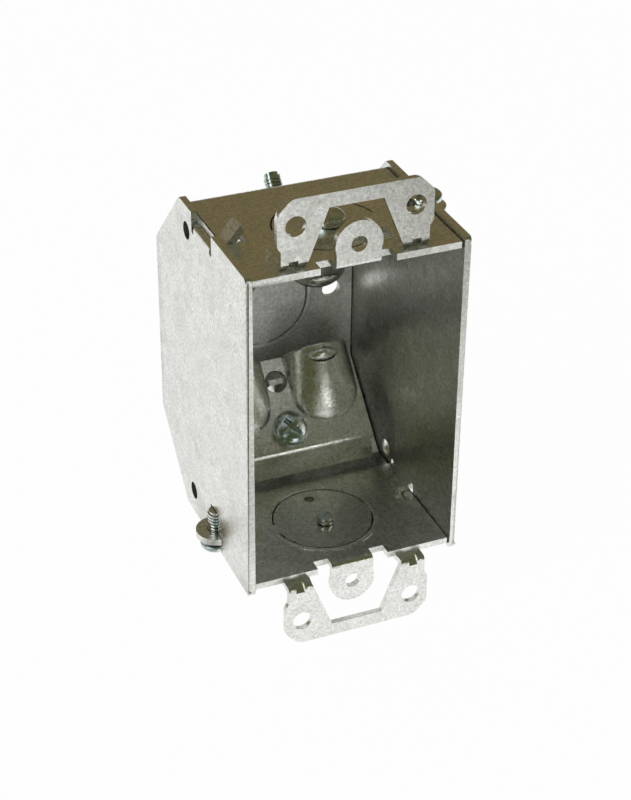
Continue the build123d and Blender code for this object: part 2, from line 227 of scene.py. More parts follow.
class SwitchBoxStageSettings(bpy.types.PropertyGroup):
    """Camera, floor and light."""

    camera_place: bpy.props.FloatVectorProperty(
        name="Camera place",
        description="Where the camera stands",
        subtype="TRANSLATION",
        default=(-0.143225, -0.319006, 0.223973),
    )
    camera_forward: bpy.props.FloatVectorProperty(
        name="Camera direction",
        description="Direction the camera looks in",
        subtype="DIRECTION",
        default=(0.32825, 0.78143, -0.53069),
    )
    camera_up: bpy.props.FloatVectorProperty(
        name="Camera up",
        description="Upward direction of the picture",
        subtype="DIRECTION",
        default=(0.19821, 0.49233, 0.84754),
    )
    lens: bpy.props.FloatProperty(
        name="Lens", description="Focal length on a 36 mm long side", unit="CAMERA", default=89.289
    )
    key_power: bpy.props.FloatProperty(
        name="Key lamp", description="Power of the soft lamp on the left", unit="POWER", default=2.5
    )
    front_power: bpy.props.FloatProperty(
        name="Front lamp", description="Power of the soft lamp in front", unit="POWER", default=0.45
    )
    mirrored_front: colour_prop(
        "Mirrored front", "Olive tone that metal mirrors from above in front", (0.084, 0.089, 0.038)
    )
    mirrored_back: colour_prop(
        "Mirrored back", "Brown tone that metal mirrors from above behind", (0.165, 0.132, 0.062)
    )
    floor_white: bpy.props.FloatProperty(
        name="Floor white", description="Share of plain white in the floor that the camera sees", default=0.975
    )
    floor_far: bpy.props.FloatProperty(
        name="Far floor", description="Brightness of the far floor as metal mirrors it", default=0.25
    )
    floor_size: length_prop("Floor size", "Length of the floor's sides", 12.0)
    key_size: length_prop("Key lamp size", "Length of the key lamp's sides", 0.6)
    front_size: length_prop("Front lamp size", "Length of the front lamp's sides", 0.25)
    room: bpy.props.FloatProperty(
        name="Room light", description="Strength of the light from all round", default=0.45
    )


def link(tree, a, b):
    """Joins two sockets of a node tree."""
    tree.links.new(a, b)


def node(tree, kind, **values):
    """A new node with its plain properties set."""
    made = tree.nodes.new(kind)
    for name, value in values.items():
        setattr(made, name, value)
    return made


def new_group(name, kind, inputs, outputs):
    """A node group with its named sockets; inputs are (name, type, default)."""
    tree = bpy.data.node_groups.new(name, kind)
    for label, socket, default in inputs:
        made = tree.interface.new_socket(label, in_out="INPUT", socket_type=socket)
        if default is not None:
            made.default_value = default
    for label, socket in outputs:
        tree.interface.new_socket(label, in_out="OUTPUT", socket_type=socket)
    return tree, node(tree, "NodeGroupInput"), node(tree, "NodeGroupOutput")


def noise(tree, coords, scale, detail=3.0, rough=0.55, stretch=None):
    """The value of a noise texture, with its cells per metre, drawn out along an axis if asked."""
    if stretch is not None:
        mapping = node(tree, "ShaderNodeMapping")
        mapping.inputs["Scale"].default_value = stretch
        link(tree, coords, mapping.inputs["Vector"])
        coords = mapping.outputs["Vector"]
    texture = node(tree, "ShaderNodeTexNoise")
    texture.inputs["Scale"].default_value = scale
    texture.inputs["Detail"].default_value = detail
    texture.inputs["Roughness"].default_value = rough
    link(tree, coords, texture.inputs["Vector"])
    return texture.outputs["Fac"]


def remap(tree, value, low, high, to_low=0.0, to_high=1.0):
    """A value stretched from one range to another and held inside it."""
    made = node(tree, "ShaderNodeMapRange", clamp=True)
    made.inputs["From Min"].default_value = low
    made.inputs["From Max"].default_value = high
    made.inputs["To Min"].default_value = to_low
    made.inputs["To Max"].default_value = to_high
    link(tree, value, made.inputs["Value"])
    return made.outputs["Result"]


def maths(tree, operation, a, b=None):
    """One arithmetic step on sockets or numbers."""
    made = node(tree, "ShaderNodeMath", operation=operation)
    for socket, value in zip(made.inputs, (a, b)):
        if value is None:
            continue
        if isinstance(value, (int, float)):
            socket.default_value = value
        else:
            link(tree, value, socket)
    return made.outputs[0]


def mix_colour(tree, fac, a, b, blend="MIX"):
    """A blend of two colours, each a socket or a plain colour."""
    made = node(tree, "ShaderNodeMix", data_type="RGBA", blend_type=blend)
    for socket, value in ((made.inputs[0], fac), (made.inputs[6], a), (made.inputs[7], b)):
        if isinstance(value, (int, float)):
            socket.default_value = value
        elif isinstance(value, bpy.types.NodeSocket):
            link(tree, value, socket)
        else:
            socket.default_value = (*value, 1.0)
    return made.outputs[2]


def zinc_group():
    """Masks that every zinc surface shares: grain, spangle, stain and a height with rolling lines."""
    tree, start, end = new_group(
        "Zinc masks",
        "ShaderNodeTree",
        [("Grain scale", "NodeSocketFloat", 1500.0)],
        [
            ("Grain", "NodeSocketFloat"),
            ("Spangle", "NodeSocketFloat"),
            ("Stain", "NodeSocketFloat"),
            ("Height", "NodeSocketFloat"),
        ],
    )
    coords = node(tree, "ShaderNodeTexCoord").outputs["Object"]
    grain = node(tree, "ShaderNodeTexNoise")
    grain.inputs["Detail"].default_value = 4.0
    grain.inputs["Roughness"].default_value = 0.65
    link(tree, coords, grain.inputs["Vector"])
    link(tree, start.outputs["Grain scale"], grain.inputs["Scale"])
    cells = node(tree, "ShaderNodeTexVoronoi", feature="F1")
    cells.inputs["Scale"].default_value = 420.0
    link(tree, coords, cells.inputs["Vector"])
    hue = node(tree, "ShaderNodeSeparateColor")
    link(tree, cells.outputs["Color"], hue.inputs["Color"])
    patches = noise(tree, coords, 130.0, 4.0, 0.6)
    speckle = maths(tree, "MULTIPLY", hue.outputs[0], 0.3)
    spangle = maths(tree, "ADD", speckle, maths(tree, "MULTIPLY", patches, 0.7))
    stain = remap(tree, noise(tree, coords, 70.0, 5.0, 0.65), 0.56, 0.74)
    lines = noise(tree, coords, 900.0, 2.0, 0.5, (1.0, 0.06, 1.0))
    link(tree, grain.outputs["Fac"], end.inputs["Grain"])
    link(tree, spangle, end.inputs["Spangle"])
    link(tree, stain, end.inputs["Stain"])
    fine = maths(tree, "MULTIPLY", grain.outputs["Fac"], 0.5)
    waves = maths(tree, "MULTIPLY", noise(tree, coords, 160.0, 2.0, 0.5), 1.6)
    rolled = maths(tree, "MULTIPLY", lines, 0.35)
    link(tree, maths(tree, "ADD", maths(tree, "ADD", fine, waves), rolled), end.inputs["Height"])
    return tree


def zinc_based(name, masks):
    """A new material with its tree, its shader and the outputs of the shared zinc masks."""
    material = bpy.data.materials.new(name)
    material.use_nodes = True
    tree = material.node_tree
    zinc = node(tree, "ShaderNodeGroup", node_tree=masks)
    return material, tree, tree.nodes["Principled BSDF"], zinc.outputs


def add_bump(tree, shader, height, strength, distance):
    """Bump from a height, feeding a shader's normal."""
    bump = node(tree, "ShaderNodeBump")
    bump.inputs["Strength"].default_value = strength
    bump.inputs["Distance"].default_value = distance
    link(tree, height, bump.inputs["Height"])
    link(tree, bump.outputs["Normal"], shader.inputs["Normal"])


def sheet_material(settings, masks):
    """Galvanised sheet: mottled zinc grains, thin brown stains, rolling lines and a dull sheen."""
    material, tree, shader, zinc = zinc_based("mottled_zinc", masks)
    mottle = remap(tree, zinc["Spangle"], 0.3, 0.68)
    colour = mix_colour(tree, mottle, settings.zinc_dark, settings.zinc_light)
    grain = remap(tree, zinc["Grain"], 0.3, 0.7, 0.66, 1.12)
    bright = node(tree, "ShaderNodeCombineColor")
    for socket in bright.inputs[:3]:
        link(tree, grain, socket)
    colour = mix_colour(tree, 1.0, colour, bright.outputs["Color"], "MULTIPLY")
    stain = maths(tree, "MULTIPLY", zinc["Stain"], 0.22)
    link(tree, mix_colour(tree, stain, colour, settings.tarnish), shader.inputs["Base Color"])
    rough = remap(tree, zinc["Spangle"], 0.3, 0.7, 0.06, -0.06)
    rough = maths(tree, "ADD", rough, settings.roughness)
    rough = maths(tree, "ADD", rough, maths(tree, "MULTIPLY", zinc["Stain"], 0.1))
    place = node(tree, "ShaderNodeSeparateXYZ")
    link(tree, node(tree, "ShaderNodeTexCoord").outputs["Object"], place.inputs["Vector"])
    at_back = remap(tree, place.outputs["Y"], settings.back_y - 0.004, settings.back_y - 0.0017)
    rough = maths(tree, "ADD", rough, maths(tree, "MULTIPLY", at_back, settings.back_dulling))
    link(tree, rough, shader.inputs["Roughness"])
    bloom = maths(tree, "MULTIPLY", at_back, settings.back_patina)
    link(tree, maths(tree, "SUBTRACT", 1.0, bloom), shader.inputs["Metallic"])
    add_bump(tree, shader, zinc["Height"], 0.4, 0.00016)
    return material


def edge_material(settings, masks):
    """Sheared and rubbed sheet edges: brighter and smoother than the faces, with nicks."""
    material, tree, shader, zinc = zinc_based("sheared_edge", masks)
    worn = remap(tree, zinc["Grain"], 0.35, 0.65)
    link(tree, mix_colour(tree, worn, settings.zinc_light, settings.edge), shader.inputs["Base Color"])
    shader.inputs["Metallic"].default_value = 0.95
    link(tree, remap(tree, zinc["Grain"], 0.3, 0.7, 0.38, 0.24), shader.inputs["Roughness"])
    add_bump(tree, shader, zinc["Height"], 0.3, 0.0001)
    return material


def painted_shade_material(settings, masks):
    """Painted shade for slits, seams, nail-hole walls and louvre edges: near black, flecked with a dull brown
    by the grain.
    """
    material, tree, shader, zinc = zinc_based("painted_shade_gap", masks)
    painted_shade_fleck = remap(tree, zinc["Grain"], 0.3, 0.7)
    link(tree, mix_colour(tree, painted_shade_fleck, settings.painted_shade_dark, settings.painted_shade_fleck_colour), shader.inputs["Base Color"])
    link(tree, remap(tree, zinc["Spangle"], 0.3, 0.7, 0.7, 0.9), shader.inputs["Roughness"])
    return material


def screw_material(settings, masks):
    """Bright zinc plate with a faint blue-green passivated tint and dull patches."""
    material, tree, shader, zinc = zinc_based("bright_plate", masks)
    tinted = maths(tree, "MULTIPLY", remap(tree, zinc["Spangle"], 0.42, 0.62), 0.8)
    link(tree, mix_colour(tree, tinted, settings.plate, settings.tint), shader.inputs["Base Color"])
    shader.inputs["Metallic"].default_value = 1.0
    link(tree, remap(tree, zinc["Grain"], 0.3, 0.7, 0.10, 0.26), shader.inputs["Roughness"])
    add_bump(tree, shader, zinc["Height"], 0.15, 0.0001)
    return material


def shared_material(name, maker, settings):
    """A material by name, made with the shared masks when it isn't there yet."""
    masks = bpy.data.node_groups.get("Zinc masks") or zinc_group()
    return bpy.data.materials.get(name) or maker(settings, masks)


def shape_object(name, shape):
    """A new object with the mesh of a bmesh, which is freed."""
    mesh = bpy.data.meshes.new(name)
    shape.to_mesh(mesh)
    shape.free()
    made = bpy.data.objects.new(name, mesh)
    bpy.context.scene.collection.objects.link(made)
    return made


def merged_copy(name, settings):
    """A CAD node's mesh as a new object, its loose triangles joined."""
    shape = bmesh.new()
    shape.from_mesh(frame["nodes"][name].data)
    bmesh.ops.remove_doubles(shape, verts=shape.verts, dist=2e-6)
    bmesh.ops.dissolve_degenerate(shape, edges=shape.edges, dist=1e-6)
    if name in ("left_side", "right_side"):
        roll_fronts(shape, settings)
    bmesh.ops.dissolve_limit(shape, angle_limit=math.radians(0.4), verts=shape.verts, edges=shape.edges)
    for face in shape.faces:
        face.material_index = FACE
        face.smooth = True
    if name.endswith("_ear"):
        round_corners(shape, settings)
    if name == "box_body":
        close_windows(shape, settings)
        round_tongues(shape, settings)
    return shape_object(name + "_sheet", shape)


def close_windows(shape, settings):
    """Draws each gang tongue's window in to the tongue's own size."""
    for vert in shape.verts:
        x, y, z = abs(vert.co.x), vert.co.y, abs(vert.co.z)
        in_wall = settings.wall_inner - 1e-5 < z < settings.wall_outer + 1e-5
        if vert.co.x * vert.co.z >= 0 or not in_wall:
            continue
        if abs(x - CAD_WINDOW_INNER) < NEAR and WINDOW_Y[0] < y < WINDOW_Y[1]:
            inner = settings.window_inner if vert.co.z > 0 else settings.window_inner_low
            vert.co.x = math.copysign(inner, vert.co.x)
        if abs(y - CAD_WINDOW_FRONT) < NEAR and WINDOW_X[0] < x < WINDOW_X[1]:
            vert.co.y = settings.window_front


def round_tongues(shape, settings):
    """Lifts and widens the gang tongues' free ends a little and rounds their corners."""
    wall = settings.wall_outer
    for vert in shape.verts:
        x, y, z = abs(vert.co.x), vert.co.y, abs(vert.co.z)
        at_tongue = TONGUE_X[0] < x < TONGUE_X[1] and TONGUE_Y[0] < y < TONGUE_Y[1]
        if vert.co.x * vert.co.z < 0 and at_tongue and wall + 0.0001 < z < TONGUE_TOP:
            vert.co.z = math.copysign(wall + (z - wall) * settings.tongue_lift, vert.co.z)
            if y < TONGUE_FRONT:
                vert.co.y -= TONGUE_WIDENING
    ends = []
    for edge in shape.edges:
        a, b = (vert.co for vert in edge.verts)
        outside = min(abs(a.z), abs(b.z)) > wall + 0.0008
        near, far = sorted((abs(a.x), abs(b.x)))
        at_end = abs(a.y - b.y) < 1e-6 and TONGUE_X[0] < near and far < TONGUE_END
        if outside and at_end and TONGUE_Y[0] < a.y < TONGUE_Y[1] and a.x * a.z < 0:
            if len(edge.link_faces) == 2 and edge.calc_face_angle(0.0) > 1.0:
                ends.append(edge)
    if ends:
        bmesh.ops.bevel(shape, geom=ends, offset=TONGUE_ROUNDING, segments=6, affect="EDGES", profile=0.5)


def round_corners(shape, settings):
    """Rounds the outer corners of an ear's upright plate."""
    corners = []
    for edge in shape.edges:
        a, b = (vert.co for vert in edge.verts)
        level = abs(a.x - b.x) < 1e-6 and abs(a.z - b.z) < 1e-6
        through = level and EAR_SHEET[0] < abs(a.y - b.y) < EAR_SHEET[1]
        if through and abs(a.x) > EAR_CORNER_X and len(edge.link_faces) == 2 and edge.is_convex:
            if edge.calc_face_angle(0.0) > 0.5:
                corners.append(edge)
    if corners:
        bmesh.ops.bevel(
            shape,
            geom=corners,
            offset=settings.ear_corner,
            segments=5,
            affect="EDGES",
            profile=0.5,
            clamp_overlap=True,
        )


def roll_fronts(shape, settings):
    """Rounds a side's outer front edge, as shearing leaves it."""
    front = min(vert.co.y for vert in shape.verts)
    outer = max(abs(vert.co.x) for vert in shape.verts)
    edges = [
        edge
        for edge in shape.edges
        if all(abs(abs(vert.co.x) - outer) < 2e-6 and abs(vert.co.y - front) < 2e-6 for vert in edge.verts)
    ]
    if edges:
        bmesh.ops.bevel(
            shape, geom=edges, offset=settings.front_rollover, segments=4, affect="EDGES", profile=0.5
        )


def ring(shape, centre, axis, profile, index):
    """Adds a ring about an axis, its section given by points of radius and height."""
    turn = Vector((0, 0, 1)).rotation_difference(Vector(axis)).to_matrix()
    steps = 96
    rows = []
    for radius, height in profile:
        row = []
        for step in range(steps):
            angle = 2 * math.pi * step / steps
            spot = Vector((radius * math.cos(angle), radius * math.sin(angle), height))
            row.append(shape.verts.new(Vector(centre) + turn @ spot))
        rows.append(row)
    for inner, outer in zip(rows, rows[1:] + rows[:1]):
        for step in range(steps):
            after = (step + 1) % steps
            face = shape.faces.new((inner[step], inner[after], outer[after], outer[step]))
            face.material_index = index
            face.smooth = True


def apply_modifiers(obj):
    """Turns an object's modifiers into its mesh."""
    graph = bpy.context.evaluated_depsgraph_get()
    mesh = bpy.data.meshes.new_from_object(obj.evaluated_get(graph))
    obj.modifiers.clear()
    old = obj.data
    obj.data = mesh
    bpy.data.meshes.remove(old)


def floor_slits(mesh, settings):
    """Floors the knockouts' slits with painted shade, banks a ridge round each and paints shade into the seams
    along the sides.
    """
    shape = bmesh.new()
    shape.from_mesh(mesh)
    for side in (-1, 1):
        bmesh.ops.bisect_plane(
            shape,
            geom=shape.verts[:] + shape.edges[:] + shape.faces[:],
            plane_co=(side * (settings.body_half_width - settings.seam), 0, 0),
            plane_no=(1, 0, 0),
        )
    # Seam faces that face sideways get the sheared-edge material; the rest get painted shade
    for face in shape.faces:
        inset = settings.body_half_width - abs(face.calc_center_median().x)
        if -0.0001 < inset < settings.seam:
            face.material_index = EDGE if abs(face.normal.x) > 0.7 else PAINTED_SHADE
    sheet = settings.wall_outer - settings.wall_inner
    inner = settings.knockout_radius - settings.knockout_gap
    outer = settings.knockout_radius + settings.knockout_gap
    low, high = sheet / 2 - SLIT_FLOOR, sheet / 2 + SLIT_FLOOR
    floor = ((inner, low), (outer, low), (outer, high), (inner, high))
    wide, rise = settings.ridge_width, settings.ridge_height
    bank = []
    for step in range(9):
        angle = math.pi * step / 8
        bank.append((outer + wide * (0.5 - 0.5 * math.cos(angle)), sheet + rise * math.sin(angle)))
    bank += [(outer + wide, sheet - RIDGE_ROOT), (outer, sheet - RIDGE_ROOT)]
    # Each slit's floor ring is painted shade; the ridge banked round it is plain zinc
    for centre, axis in (
        ((0, settings.wall_knockout_y, settings.wall_outer), (0, 0, -1)),
        ((0, settings.wall_knockout_y, -settings.wall_outer), (0, 0, 1)),
        ((0, settings.back_y, 0), (0, -1, 0)),
    ):
        ring(shape, centre, axis, floor, PAINTED_SHADE)
        ring(shape, centre, axis, bank, FACE)
    bmesh.ops.recalc_face_normals(shape, faces=shape.faces)
    shape.to_mesh(mesh)
    shape.free()


def paint_shade_in_nail_holes(mesh, settings):
    """Paints shade onto the walls of a side's nail holes."""
    for polygon in mesh.polygons:
        middle = polygon.center
        away = math.hypot(middle.y - settings.nail_y, abs(middle.z) - settings.nail_z)
        if away < NAIL_HOLE_REACH and abs(polygon.normal.x) < 0.5:
            polygon.material_index = PAINTED_SHADE


def in_ellipse(across, along, size):
    """Squared distance from an ellipse's middle, 1 on its rim."""
    return (across / size[0]) ** 2 + (along / size[1]) ** 2


def hump_row(shape, middle, along, upper, settings):
    """One row of vertices across a hump, at a place along the bevel."""
    foot, top = settings.hump_foot, settings.hump_top
    short = max(0.0, (foot + settings.hump_round - along) / settings.hump_round)
    half = settings.hump_radius * math.sqrt(max(0.0, 1 - short * short))
    rise = settings.hump_height * max(0.0, (along - foot) / (top - foot)) ** settings.hump_swell
    row = []
    for step in range(HUMP_STEPS + 1):
        angle = math.pi * step / HUMP_STEPS
        across = half * math.cos(angle)
        off = settings.clamp_off - HUMP_SINK + (rise + HUMP_SINK) * math.sin(angle)
        inside = 1 - in_ellipse(across, along - settings.louvre_along, LOUVRE_LENS)
        if inside > 0:
            off += LOUVRE_RISE * math.sqrt(inside)
        y = settings.bevel_y + (along - off) * math.sqrt(0.5)
        z = -settings.wall_outer + (along + off) * math.sqrt(0.5)
        row.append(shape.verts.new((middle + across, y, -z if upper else z)))
    return row


def add_humps(mesh, upper, settings):
    """Adds a clamp's two round-footed cable humps over the CAD's plainer ones, each with its louvre and a
    painted shadow under the louvre's lip.
    """
    foot, top = settings.hump_foot, settings.hump_top
    turns = [math.pi / 2 * step / HUMP_ROWS for step in range(HUMP_ROWS + 1)]
    places = [foot + (top - foot) * (1 - math.cos(angle)) for angle in turns]
    places = sorted(places + [settings.louvre_along + LOUVRE_STEP * step for step in range(-16, 12)])
    shape = bmesh.new()
    for middle in (settings.hump_x, -settings.hump_x):
        rows = [(along, hump_row(shape, middle, along, upper, settings)) for along in places]
        for (low, first), (up, second) in zip(rows, rows[1:]):
            along = (low + up) / 2 - settings.louvre_along
            for step in range(HUMP_STEPS):
                corners = (first[step], first[step + 1], second[step + 1], second[step])
                across = sum(vert.co.x for vert in corners) / 4 - middle
                # The half of the ring round the lens nearer the hump's foot is painted shadow, a dark line
                # under the louvre's lip
                shade_ring_round_lens = in_ellipse(across, along, LOUVRE_LENS) > 1 > in_ellipse(across, along, LOUVRE_SHADOW_RIM)
                face = shape.faces.new(corners)
                face.smooth = True
                face.material_index = PAINTED_SHADE if along < 0 and shade_ring_round_lens else FACE
    bmesh.ops.remove_doubles(shape, verts=shape.verts, dist=1e-6)
    bmesh.ops.recalc_face_normals(shape, faces=shape.faces)
    holder = shape_object("humps", shape)
    largest = max(holder.data.polygons, key=lambda polygon: polygon.area)
    thick = holder.modifiers.new("Sheet", "SOLIDIFY")
    thick.thickness = settings.hump_sheet
    thick.offset = -1.0 if largest.normal.y < 0 else 1.0
    apply_modifiers(holder)
    shape = bmesh.new()
    shape.from_mesh(mesh)
    shape.from_mesh(holder.data)
    shape.to_mesh(mesh)
    shape.free()
    bpy.data.objects.remove(holder)


class SWITCHBOX_OT_sheet(bpy.types.Operator):
    """Makes the folded sheet pieces with rounded, rubbed edges and galvanised faces"""

    bl_idname = "switchbox.sheet"
    bl_label = "Make sheet pieces"

    def execute(self, context):
        settings = context.scene.switchbox_sheet
        face = shared_material("mottled_zinc", sheet_material, settings)
        edge = shared_material("sheared_edge", edge_material, settings)
        # Painted shade for the slits, seams, nail-hole walls and louvre edges
        gap = shared_material("painted_shade_gap", painted_shade_material, settings)
        for name, body in SHEET_NODES.items():
            piece = merged_copy(name, settings)
            piece.data.materials.append(face)
            piece.data.materials.append(edge)
            bevel = piece.modifiers.new("Rounded edges", "BEVEL")
            bevel.limit_method = "ANGLE"
            bevel.angle_limit = settings.smooth_angle
            bevel.width = settings.edge_radius
            bevel.segments = 2
            bevel.material = EDGE
            normals = piece.modifiers.new("Even shading", "WEIGHTED_NORMAL")
            normals.mode = "FACE_AREA"
            normals.weight = 80
            normals.keep_sharp = True
            apply_modifiers(piece)
            if name in ("box_body", "left_side", "upper_clamp", "lower_clamp"):
                piece.data.materials.append(gap)
            if name == "box_body":
                floor_slits(piece.data, settings)
            if name == "left_side":
                paint_shade_in_nail_holes(piece.data, settings)
            if name.endswith("_clamp"):
                add_humps(piece.data, name == "upper_clamp", settings)
            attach(piece, body)
            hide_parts(name)
        return {"FINISHED"}


def thread_group():
    """Geometry Nodes: a threaded shank hanging below z = 0, its turns swept along a spiral."""
    tree, start, end = new_group(
        "Threaded shank",
        "GeometryNodeTree",
        [
            ("Geometry", "NodeSocketGeometry", None),
            ("Radius", "NodeSocketFloat", 0.002),
            ("Pitch", "NodeSocketFloat", 0.0008),
            ("Length", "NodeSocketFloat", 0.01),
            ("Depth", "NodeSocketFloat", 0.0004),
            ("Material", "NodeSocketMaterial", None),
        ],
        [("Geometry", "NodeSocketGeometry")],
    )
    tree.is_modifier = True
    core = maths(tree, "SUBTRACT", start.outputs["Radius"], start.outputs["Depth"])
    turns = maths(tree, "DIVIDE", start.outputs["Length"], start.outputs["Pitch"])
    spiral = node(tree, "GeometryNodeCurveSpiral")
    spiral.inputs["Resolution"].default_value = 24
    link(tree, maths(tree, "SUBTRACT", turns, 2.0), spiral.inputs["Rotations"])
    ridge = maths(tree, "MULTIPLY", start.outputs["Depth"], THREAD_RIDGE)
    mid = maths(tree, "SUBTRACT", start.outputs["Radius"], ridge)
    link(tree, mid, spiral.inputs["Start Radius"])
    link(tree, mid, spiral.inputs["End Radius"])
    twice = maths(tree, "MULTIPLY", start.outputs["Pitch"], 2.0)
    link(tree, maths(tree, "SUBTRACT", start.outputs["Length"], twice), spiral.inputs["Height"])
    upright = node(tree, "GeometryNodeSetCurveNormal")
    upright.mode = "Z_UP"
    link(tree, spiral.outputs["Curve"], upright.inputs["Curve"])
    profile = node(tree, "GeometryNodeCurvePrimitiveCircle", mode="RADIUS")
    profile.inputs["Resolution"].default_value = 3
    link(tree, ridge, profile.inputs["Radius"])
    sweep = node(tree, "GeometryNodeCurveToMesh")
    sweep.inputs["Fill Caps"].default_value = True
    link(tree, upright.outputs["Curve"], sweep.inputs["Curve"])
    link(tree, profile.outputs["Curve"], sweep.inputs["Profile Curve"])
    lower = node(tree, "GeometryNodeTransform")
    shift = node(tree, "ShaderNodeCombineXYZ")
    drop = maths(tree, "SUBTRACT", start.outputs["Pitch"], start.outputs["Length"])
    link(tree, drop, shift.inputs["Z"])
    link(tree, sweep.outputs["Mesh"], lower.inputs["Geometry"])
    link(tree, shift.outputs["Vector"], lower.inputs["Translation"])
    rod = node(tree, "GeometryNodeMeshCylinder")
    rod.inputs["Vertices"].default_value = 32
    link(tree, core, rod.inputs["Radius"])
    link(tree, start.outputs["Length"], rod.inputs["Depth"])
    hang = node(tree, "GeometryNodeTransform")
    half = node(tree, "ShaderNodeCombineXYZ")
    link(tree, maths(tree, "MULTIPLY", start.outputs["Length"], -0.5), half.inputs["Z"])
    link(tree, rod.outputs["Mesh"], hang.inputs["Geometry"])
    link(tree, half.outputs["Vector"], hang.inputs["Translation"])
    both = node(tree, "GeometryNodeJoinGeometry")
    link(tree, lower.outputs["Geometry"], both.inputs["Geometry"])
    link(tree, hang.outputs["Geometry"], both.inputs["Geometry"])
    real = node(tree, "GeometryNodeRealizeInstances")
    link(tree, both.outputs["Geometry"], real.inputs["Geometry"])
    paint = node(tree, "GeometryNodeSetMaterial")
    link(tree, real.outputs["Geometry"], paint.inputs["Geometry"])
    link(tree, start.outputs["Material"], paint.inputs["Material"])
    link(tree, paint.outputs["Geometry"], end.inputs["Geometry"])
    return tree


def shank_mesh(settings, length, material):
    """The mesh of one threaded shank."""
    holder = bpy.data.objects.new("shank", bpy.data.meshes.new("shank"))
    bpy.context.scene.collection.objects.link(holder)
    tree = bpy.data.node_groups.get("Threaded shank") or thread_group()
    modifier = holder.modifiers.new("Thread", "NODES")
    values = {
        "Radius": settings.shank_radius,
        "Pitch": settings.pitch,
        "Length": length,
        "Depth": settings.thread_depth,
        "Material": material,
    }
    modifier.node_group = tree
    for item in tree.interface.items_tree:
        if item.item_type == "SOCKET" and item.in_out == "INPUT" and item.name in values:
            modifier[item.identifier] = values[item.name]
    bpy.context.view_layer.update()
    graph = bpy.context.evaluated_depsgraph_get()
    mesh = bpy.data.meshes.new_from_object(holder.evaluated_get(graph))
    bpy.data.objects.remove(holder)
    return mesh


def head_mesh(radius, height, cross, material):
    """A pan head on z = 0, with its driving slot and where asked a cross, cut by Booleans."""
    profile = [(0.0, 0.0), (radius * 0.96, 0.0), (radius, height * 0.08), (radius, height * 0.42)]
    for step in range(1, 7):
        angle = math.radians(90 * step / 7)
        profile.append((radius * (0.42 + 0.58 * math.cos(angle)), height * (0.42 + 0.55 * math.sin(angle))))
    profile.append((radius * 0.40, height * 0.985))
    profile.append((0.0, height))
    shape = bmesh.new()
    points = [shape.verts.new((x, 0.0, z)) for x, z in profile]
    lines = [shape.edges.new(pair) for pair in zip(points, points[1:])]
    bmesh.ops.spin(
        shape, geom=points + lines, cent=(0, 0, 0), axis=(0, 0, 1), angle=2 * math.pi, steps=48, use_merge=True
    )
    bmesh.ops.remove_doubles(shape, verts=shape.verts, dist=1e-7)
    bmesh.ops.recalc_face_normals(shape, faces=shape.faces)
    head = shape_object("head", shape)
    slot = SLOT_WIDTH * radius
    cutters = [(3.0 * radius, slot, 0.0)]
    if cross:
        cutters.append((slot, CROSS_LENGTH * radius, CROSS_DEEPER))
    tools = []
    for width, depth, deeper in cutters:
        cut = bmesh.new()
        bmesh.ops.create_cube(cut, size=1.0)
        low = height * (0.5 - deeper)
        size = Matrix.Diagonal((width, depth, height - low + CUTTER_SPARE, 1.0))
        place = Matrix.Translation((0, 0, (height + CUTTER_SPARE + low) / 2))
        bmesh.ops.transform(cut, matrix=place @ size, verts=cut.verts)
        tool = shape_object("cutter", cut)
        tools.append(tool)
        trim = head.modifiers.new("Slot", "BOOLEAN")
        trim.operation = "DIFFERENCE"
        trim.solver = "EXACT"
        trim.object = tool
    bevel = head.modifiers.new("Worn rims", "BEVEL")
    bevel.limit_method = "ANGLE"
    bevel.angle_limit = SHARP_ANGLE
    bevel.width = RIM_WEAR
    bevel.segments = 2
    apply_modifiers(head)
    for tool in tools:
        bpy.data.objects.remove(tool)
    head.data.materials.clear()
    head.data.materials.append(material)
    mesh = head.data.copy()
    bpy.data.objects.remove(head)
    return mesh


def make_screw(name, settings, radius, height, length, cross, place, material):
    """One finished screw in its place, with a pan head and a threaded shank."""
    shape = bmesh.new()
    for mesh in (head_mesh(radius, height, cross, material), shank_mesh(settings, length, material)):
        shape.from_mesh(mesh)
        bpy.data.meshes.remove(mesh)
    bmesh.ops.transform(shape, matrix=place, verts=shape.verts)
    piece = shape_object(name + "_threaded", shape)
    mesh = piece.data
    mesh.materials.append(material)
    for polygon in mesh.polygons:
        polygon.material_index = 0
        polygon.use_smooth = True
    mesh.set_sharp_from_angle(angle=SHARP_ANGLE)
    return piece


class SWITCHBOX_OT_screws(bpy.types.Operator):
    """Makes the six threaded screws on the CAD screws' own axes"""

    bl_idname = "switchbox.screws"
    bl_label = "Make screws"

    def execute(self, context):
        settings = context.scene.switchbox_screws
        material = shared_material("bright_plate", screw_material, settings)
        joints = {joint["child"]: joint for joint in frame["joints"]}
        for name in CLAMP_SCREWS:
            axis = Vector(joints[name]["axis"]).normalized()
            side = Vector((1, 0, 0))
            turn = Matrix((side, axis.cross(side), axis)).transposed().to_4x4()
            turn = turn @ Matrix.Rotation(settings.clamp_turn, 4, "Z")
            place = Matrix.Translation(joints[name]["pos_m"]) @ turn
            piece = make_screw(
                name,
                settings,
                settings.clamp_head_radius,
                settings.clamp_head_height,
                settings.clamp_length,
                True,
                place,
                material,
            )
            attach(piece, name)
            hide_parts(name)
        for name in WALL_SCREWS:
            low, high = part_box(name)
            up = 1 if high.z > 0 and low.z > 0 else -1
            height = settings.ear_head_height if "ear" in name else settings.side_head_height
            top = high.z if up > 0 else low.z
            seat = Vector(((low.x + high.x) / 2, (low.y + high.y) / 2, top - up * height))
            place = Matrix.Translation(seat)
            if up < 0:
                place = place @ Matrix.Rotation(math.pi, 4, "Y")
            place = place @ Matrix.Rotation(EAR_TURN if "ear" in name else SIDE_TURN, 4, "Z")
            length = (high.z - low.z) - height - (settings.ear_tip if "ear" in name else 0.0)
            piece = make_screw(name, settings, (high.x - low.x) / 2, height, length, False, place, material)
            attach(piece, "box")
            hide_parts(name)
        return {"FINISHED"}


